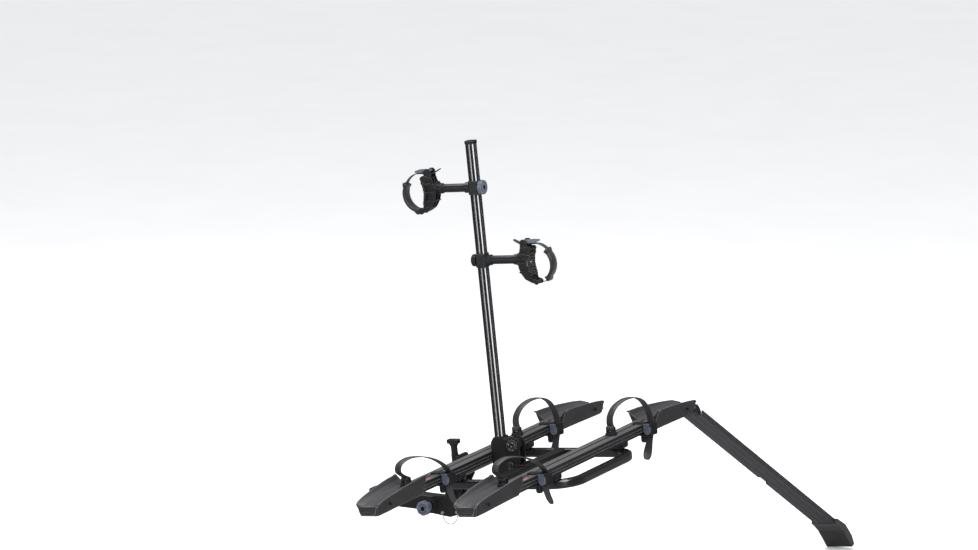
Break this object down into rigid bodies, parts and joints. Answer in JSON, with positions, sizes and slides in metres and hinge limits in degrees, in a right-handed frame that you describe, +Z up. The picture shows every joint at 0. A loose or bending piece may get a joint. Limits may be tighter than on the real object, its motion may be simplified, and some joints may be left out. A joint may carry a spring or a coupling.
{
  "type": "hitch mounted bike rack",
  "caption": "Platform bike rack for a vehicle hitch receiver, with wheel trays, ratchet wheel straps, a folding mast with frame clamps, a tilting base and a loading ramp.",
  "frame": {"origin": "middle of the hitch pin hole, on the axis of the square tongue", "axes": "+X along the wheel trays toward the ramp end, +Y along the tongue toward the vehicle, +Z up"},
  "size_m": [2.7603, 0.9054, 1.7614],
  "materials": {
    "black_powder_coat": "satin black powder coat",
    "black_gloss_coat": "gloss black coat",
    "anodised_black": "black anodised extrusion, brushed",
    "zinc_steel": "zinc plated",
    "black_steel": "black oxide",
    "trough_plastic": "moulded, satin grained",
    "ramp_metal": "dark grey satin coat",
    "slate_plastic": "slate blue-grey moulded",
    "black_plastic": "glass filled nylon",
    "black_rubber": "moulded rubber",
    "strap_plastic": "flexible ribbed strap",
    "galvanised_wire": "coated wire",
    "lock_brass": "dark lock barrel"
  },
  "bodies": {
    "base": {"hitch_tongue": "black_powder_coat", "tongue_plug": "black_plastic", "hitch_bracket": "black_powder_coat", "tilt_sector": "zinc_steel", "tilt_pivot_bolt": "black_steel", "cable_loop": "galvanised_wire"},
    "tightener": {"hitch_bolt": "zinc_steel", "hitch_knob": "slate_plastic"},
    "hitch_lock": {"hitch_lock_core": "lock_brass"},
    "platform": {"loop_frame": "black_gloss_coat", "cross_member": "black_powder_coat", "pivot_lugs": "black_powder_coat", "lock_barrel": "black_powder_coat", "tray_saddles": "black_plastic", "frame_bolts": "black_steel", "inner_tray": "anodised_black", "outer_tray": "anodised_black", "inner_scoop_left": "trough_plastic", "inner_scoop_right": "trough_plastic", "outer_scoop_left": "trough_plastic", "outer_scoop_right": "trough_plastic", "scoop_screws": "black_steel", "ramp_catch_pins": "zinc_steel", "mast_bracket": "black_powder_coat", "mast_pivot_bolt": "black_steel", "mast_latch_bolt": "black_steel"},
    "release": {"tilt_handle": "black_plastic"},
    "mast": {"mast_foot": "black_powder_coat", "mast_tube": "black_gloss_coat", "mast_cap": "black_plastic"},
    "upper_support": {"upper_arm": "black_plastic"},
    "upper_knob": {"upper_arm_knob": "slate_plastic"},
    "upper_lock": {"upper_knob_lock": "lock_brass"},
    "lower_support": {"lower_arm": "black_plastic"},
    "lower_knob": {"lower_arm_knob": "black_plastic"},
    "upper_clamp": {"upper_clamp_jaw": "black_plastic", "upper_clamp_liner": "black_rubber"},
    "lower_clamp": {"lower_clamp_jaw": "black_plastic", "lower_clamp_liner": "black_rubber"},
    "upper_hoop": {"upper_clamp_strap": "strap_plastic", "upper_clamp_pad": "black_rubber"},
    "lower_hoop": {"lower_clamp_strap": "strap_plastic", "lower_clamp_pad": "black_rubber"},
    "upper_buckle": {"upper_clamp_lever": "slate_plastic"},
    "lower_buckle": {"lower_clamp_lever": "slate_plastic"},
    "ramp": {"ramp_channel": "ramp_metal", "ramp_hook": "black_plastic", "ramp_foot": "black_rubber"},
    "slider_1": {"strap_slider_1": "black_plastic"},
    "strap_1": {"wheel_strap_1": "strap_plastic"},
    "release_1": {"strap_release_1": "slate_plastic"},
    "slider_2": {"strap_slider_2": "black_plastic"},
    "strap_2": {"wheel_strap_2": "strap_plastic"},
    "release_2": {"strap_release_2": "slate_plastic"},
    "slider_3": {"strap_slider_3": "black_plastic"},
    "strap_3": {"wheel_strap_3": "strap_plastic"},
    "release_3": {"strap_release_3": "slate_plastic"},
    "slider_4": {"strap_slider_4": "black_plastic"},
    "strap_4": {"wheel_strap_4": "strap_plastic"},
    "release_4": {"strap_release_4": "slate_plastic"}
  },
  "joints": [
    {"name": "hitch_knob_turn", "type": "hinge", "parent": "base", "child": "tightener", "pos_m": [-0.06, 0, 0], "axis": [1, 0, 0], "continuous": true},
    {"name": "hitch_lock_turn", "type": "hinge", "parent": "tightener", "child": "hitch_lock", "pos_m": [-0.092, 0, 0], "axis": [1, 0, 0], "range_deg": [0, 90]},
    {"name": "platform_tilt", "type": "hinge", "parent": "base", "child": "platform", "pos_m": [0, -0.0825, 0.0454], "axis": [-1, 0, 0], "range_deg": [-25, 80]},
    {"name": "tilt_release", "type": "slide", "parent": "platform", "child": "release", "axis": [0, 0.112, 0.9937], "range_m": [0, 0.025]},
    {"name": "mast_fold", "type": "hinge", "parent": "platform", "child": "mast", "pos_m": [0, -0.29115, 0.22993], "axis": [1, 0, 0], "range_deg": [0, 86]},
    {"name": "upper_arm_slide", "type": "slide", "parent": "mast", "child": "upper_support", "axis": [0, 0.112, 0.9937], "range_m": [-0.095, 0.08]},
    {"name": "lower_arm_slide", "type": "slide", "parent": "mast", "child": "lower_support", "axis": [0, 0.112, 0.9937], "range_m": [-0.25, 0.095]},
    {"name": "upper_knob_turn", "type": "hinge", "parent": "upper_support", "child": "upper_knob", "pos_m": [0, -0.17421, 1.07113], "axis": [0, 0.9937, -0.112], "continuous": true},
    {"name": "upper_lock_turn", "type": "hinge", "parent": "upper_knob", "child": "upper_lock", "pos_m": [0, -0.18613, 1.07247], "axis": [0, 0.9937, -0.112], "range_deg": [0, 90]},
    {"name": "lower_knob_turn", "type": "hinge", "parent": "lower_support", "child": "lower_knob", "pos_m": [0, -0.14135, 0.82691], "axis": [0, 0.9937, -0.112], "continuous": true},
    {"name": "upper_clamp_swivel", "type": "hinge", "parent": "upper_support", "child": "upper_clamp", "pos_m": [0, -0.00528, 1.05209], "axis": [0, 0.9937, -0.112], "range_deg": [-90, 90]},
    {"name": "lower_clamp_swivel", "type": "hinge", "parent": "lower_support", "child": "lower_clamp", "pos_m": [0, -0.31028, 0.84595], "axis": [0, 0.9937, -0.112], "range_deg": [-90, 90]},
    {"name": "upper_hoop_open", "type": "hinge", "parent": "upper_clamp", "child": "upper_hoop", "pos_m": [0, 0.04407, 0.97206], "axis": [-1, 0, 0], "range_deg": [0, 85]},
    {"name": "lower_hoop_open", "type": "hinge", "parent": "lower_clamp", "child": "lower_hoop", "pos_m": [0, -0.37621, 0.77891], "axis": [1, 0, 0], "range_deg": [0, 85]},
    {"name": "upper_buckle_lift", "type": "hinge", "parent": "upper_clamp", "child": "upper_buckle", "pos_m": [0, 0.02418, 1.10814], "axis": [1, 0, 0], "range_deg": [0, 75]},
    {"name": "lower_buckle_lift", "type": "hinge", "parent": "lower_clamp", "child": "lower_buckle", "pos_m": [0, -0.32653, 0.90715], "axis": [-1, 0, 0], "range_deg": [0, 75]},
    {"name": "strap_1_slide", "type": "slide", "parent": "platform", "child": "slider_1", "axis": [1, 0, 0], "range_m": [0, 0.08]},
    {"name": "strap_1_open", "type": "hinge", "parent": "slider_1", "child": "strap_1", "pos_m": [-0.54, -0.17963, 0.21937], "axis": [-0.2912, -0.9507, 0.1071], "range_deg": [0, 55]},
    {"name": "strap_1_release", "type": "hinge", "parent": "slider_1", "child": "release_1", "pos_m": [-0.37657, -0.23152, 0.20308], "axis": [0.2912, 0.9507, -0.1071], "range_deg": [0, 22]},
    {"name": "strap_2_slide", "type": "slide", "parent": "platform", "child": "slider_2", "axis": [1, 0, 0], "range_m": [0, 0.08]},
    {"name": "strap_2_open", "type": "hinge", "parent": "slider_2", "child": "strap_2", "pos_m": [-0.54, -0.52544, 0.25835], "axis": [-0.2912, -0.9507, 0.1071], "range_deg": [0, 55]},
    {"name": "strap_2_release", "type": "hinge", "parent": "slider_2", "child": "release_2", "pos_m": [-0.37657, -0.57733, 0.24206], "axis": [0.2912, 0.9507, -0.1071], "range_deg": [0, 22]},
    {"name": "strap_3_slide", "type": "slide", "parent": "platform", "child": "slider_3", "axis": [1, 0, 0], "range_m": [-0.085, 0]},
    {"name": "strap_3_open", "type": "hinge", "parent": "slider_3", "child": "strap_3", "pos_m": [0.228, -0.17963, 0.21937], "axis": [-0.2912, -0.9507, 0.1071], "range_deg": [0, 90]},
    {"name": "strap_3_release", "type": "hinge", "parent": "slider_3", "child": "release_3", "pos_m": [0.39143, -0.23152, 0.20308], "axis": [0.2912, 0.9507, -0.1071], "range_deg": [0, 22]},
    {"name": "strap_4_slide", "type": "slide", "parent": "platform", "child": "slider_4", "axis": [1, 0, 0], "range_m": [-0.085, 0]},
    {"name": "strap_4_open", "type": "hinge", "parent": "slider_4", "child": "strap_4", "pos_m": [0.228, -0.52544, 0.25835], "axis": [-0.2912, -0.9507, 0.1071], "range_deg": [0, 90]},
    {"name": "strap_4_release", "type": "hinge", "parent": "slider_4", "child": "release_4", "pos_m": [0.39143, -0.57733, 0.24206], "axis": [0.2912, 0.9507, -0.1071], "range_deg": [0, 22]},
    {"name": "ramp_lift", "type": "hinge", "parent": "platform", "child": "ramp", "pos_m": [0.792, -0.53059, 0.21264], "axis": [0, -0.9937, 0.112], "range_deg": [-6, 31]}
  ]
}
